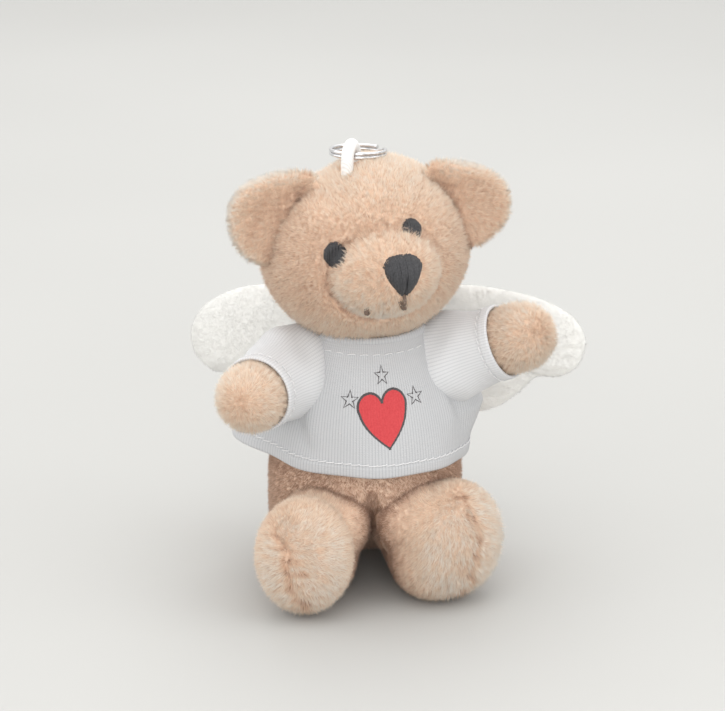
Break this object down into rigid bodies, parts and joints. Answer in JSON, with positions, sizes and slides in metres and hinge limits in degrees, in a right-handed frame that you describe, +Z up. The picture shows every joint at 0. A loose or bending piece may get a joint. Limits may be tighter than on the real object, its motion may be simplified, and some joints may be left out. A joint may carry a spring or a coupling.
{
  "type": "plush keychain",
  "caption": "Small sitting plush bear in a knitted shirt, with padded wings on its back and a cord loop and split ring on its crown.",
  "frame": {"origin": "centre of the flat seat that the bear sits on", "axes": "+Z up, the bear faces -Y, +X towards its left arm"},
  "size_m": [0.0911, 0.0873, 0.1043],
  "materials": {
    "plush": "short pile plush",
    "muzzle_plush": "short pile plush, paler",
    "stuffing": "loose polyester fibre",
    "jersey": "fine knitted jersey",
    "white_thread": "sewing thread",
    "tan_thread": "sewing thread",
    "black_thread": "satin stitch embroidery",
    "brown_thread": "stranded thread",
    "print_red": "transfer film",
    "wing_fleece": "smooth white fleece",
    "cord": "soft braided cord",
    "steel": "nickel plated"
  },
  "bodies": {
    "torso": {"torso_front_panel": "plush", "torso_back_panel": "plush", "torso_stuffing": "stuffing", "shirt_front": "jersey", "shirt_back": "jersey", "neckband": "jersey", "hem_stitching": "white_thread", "chest_print": "print_red"},
    "neck": {"neck_seam": "tan_thread"},
    "head": {"head_left_panel": "plush", "head_right_panel": "plush", "head_gusset": "plush", "muzzle_panel": "muzzle_plush", "head_stuffing": "stuffing", "eye_left": "black_thread", "eye_right": "black_thread", "nose": "black_thread", "mouth_stitch": "brown_thread", "mouth_side_stitch": "brown_thread", "cord_loop": "cord", "cord_knot": "cord"},
    "ring": {"split_ring": "steel"},
    "ear_left": {"ear_left_front_panel": "plush", "ear_left_back_panel": "plush"},
    "arm_left": {"arm_left_front_panel": "plush", "arm_left_back_panel": "plush", "arm_left_stuffing": "stuffing", "sleeve_left": "jersey", "cuff_left_stitching": "white_thread"},
    "leg_left": {"leg_left_outer_panel": "plush", "leg_left_inner_panel": "plush", "leg_left_stuffing": "stuffing"},
    "wing_left": {"wing_left_front_panel": "wing_fleece", "wing_left_back_panel": "wing_fleece", "wing_left_stuffing": "stuffing"},
    "ear_right": {"ear_right_front_panel": "plush", "ear_right_back_panel": "plush"},
    "arm_right": {"arm_right_front_panel": "plush", "arm_right_back_panel": "plush", "arm_right_stuffing": "stuffing", "sleeve_right": "jersey", "cuff_right_stitching": "white_thread"},
    "leg_right": {"leg_right_outer_panel": "plush", "leg_right_inner_panel": "plush", "leg_right_stuffing": "stuffing"},
    "wing_right": {"wing_right_front_panel": "wing_fleece", "wing_right_back_panel": "wing_fleece", "wing_right_stuffing": "stuffing"}
  },
  "joints": [
    {"name": "neck_turn", "type": "hinge", "parent": "torso", "child": "neck", "pos_m": [0, -0.001, 0.057], "axis": [0, 0, 1], "range_deg": [-25, 25], "stiffness_Nm_per_rad": 0.004},
    {"name": "head_nod", "type": "hinge", "parent": "neck", "child": "head", "pos_m": [0, -0.001, 0.057], "axis": [0.9903, 0.1392, 0], "range_deg": [-12, 12], "stiffness_Nm_per_rad": 0.02},
    {"name": "ear_left_flex", "type": "hinge", "parent": "head", "child": "ear_left", "pos_m": [-0.022, -0.00465, 0.0865], "axis": [-0.3321, 0.0467, -0.9421], "range_deg": [-15, 15], "stiffness_Nm_per_rad": 0.0005},
    {"name": "arm_left_swing", "type": "hinge", "parent": "torso", "child": "arm_left", "pos_m": [-0.0155, -0.003, 0.051], "axis": [-0.8151, 0.5793, 0], "range_deg": [-12, 20], "stiffness_Nm_per_rad": 0.004},
    {"name": "leg_left_swing", "type": "hinge", "parent": "torso", "child": "leg_left", "pos_m": [-0.01445, -0.013, 0.0137], "axis": [-0.9781, 0.2079, 0], "range_deg": [-30, 10], "stiffness_Nm_per_rad": 0.006},
    {"name": "wing_left_flap", "type": "hinge", "parent": "torso", "child": "wing_left", "pos_m": [-0.003, 0.019, 0.052], "axis": [0, 0, -1], "range_deg": [-12, 25], "stiffness_Nm_per_rad": 0.002},
    {"name": "ear_right_flex", "type": "hinge", "parent": "head", "child": "ear_right", "pos_m": [0.02115, -0.00347, 0.08612], "axis": [-0.313, -0.044, 0.9487], "range_deg": [-15, 15], "stiffness_Nm_per_rad": 0.0005},
    {"name": "arm_right_swing", "type": "hinge", "parent": "torso", "child": "arm_right", "pos_m": [0.0155, -0.003, 0.051], "axis": [-0.5548, -0.832, 0], "range_deg": [-20, 8], "stiffness_Nm_per_rad": 0.004},
    {"name": "leg_right_swing", "type": "hinge", "parent": "torso", "child": "leg_right", "pos_m": [0.01185, -0.013, 0.0137], "axis": [-0.8829, -0.4695, 0], "range_deg": [-30, 10], "stiffness_Nm_per_rad": 0.006},
    {"name": "wing_right_flap", "type": "hinge", "parent": "torso", "child": "wing_right", "pos_m": [0.0085, 0.019, 0.052], "axis": [0, 0, 1], "range_deg": [-12, 25], "stiffness_Nm_per_rad": 0.002},
    {"name": "ring_swing", "type": "hinge", "parent": "head", "child": "ring", "pos_m": [-0.004, -0.0052, 0.10048], "axis": [0.9136, -0.4067, 0], "range_deg": [0, 140]}
  ]
}
